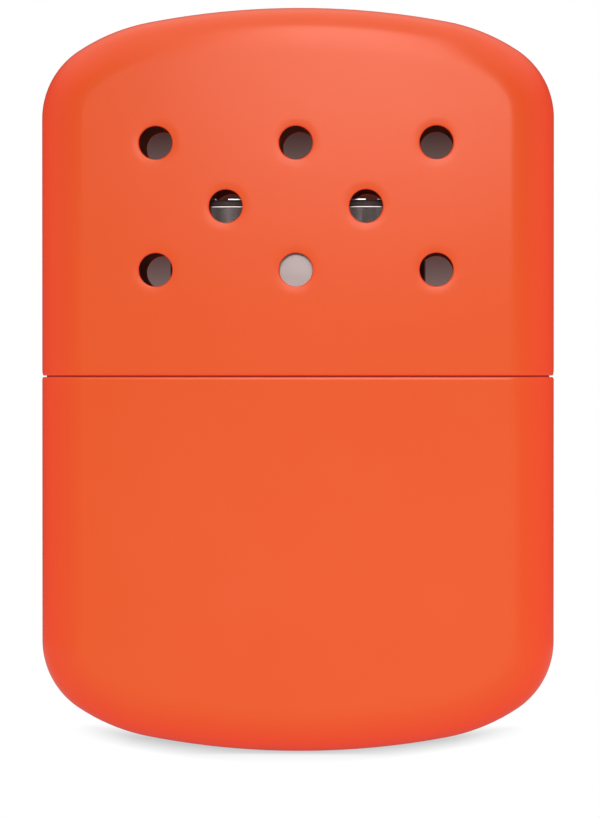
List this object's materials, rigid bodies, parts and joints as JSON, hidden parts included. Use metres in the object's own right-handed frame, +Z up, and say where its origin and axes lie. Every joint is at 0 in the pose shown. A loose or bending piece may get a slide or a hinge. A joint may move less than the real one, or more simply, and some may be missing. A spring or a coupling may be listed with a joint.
{
  "type": "catalytic hand warmer",
  "caption": "Flat pocket hand warmer: a rounded fuel tank with an oval filler mouth, a pull-off catalytic burner and a vented lid that slides over the neck.",
  "frame": {"origin": "middle of the underside's lowest line, half way through the thickness, with the warmer upright and its lid on", "axes": "+Z up through the lid, X across the width, the front face towards -Y"},
  "size_m": [0.068, 0.0148, 0.0987],
  "materials": {
    "painted_case": "satin orange powder coat",
    "bright_plate": "bright plated sheet",
    "burner_sheet": "satin plated sheet",
    "wire": "dull woven wire",
    "catalyst_fibre": "matted mineral fibre",
    "cotton": "loose cotton wadding"
  },
  "bodies": {
    "tank": {"tank_shell": "painted_case", "neck_cap": "bright_plate", "mouth_tube": "bright_plate", "mouth_bridge": "bright_plate", "lower_wadding": "cotton", "middle_wadding": "cotton", "upper_wadding": "cotton", "neck_wadding": "cotton", "mouth_wadding": "cotton"},
    "burner": {"burner_skirt": "burner_sheet", "burner_bezel": "bright_plate", "support_plate": "wire", "catalyst_mat": "catalyst_fibre", "wire_screen": "wire", "burner_guard": "bright_plate"},
    "lid": {"lid_shell": "painted_case"}
  },
  "joints": [
    {"name": "lid_slide", "type": "slide", "parent": "tank", "child": "lid", "axis": [0, 0, 1], "range_m": [0, 0.04]},
    {"name": "burner_slide", "type": "slide", "parent": "tank", "child": "burner", "axis": [0, 0, 1], "range_m": [0, 0.014]}
  ]
}
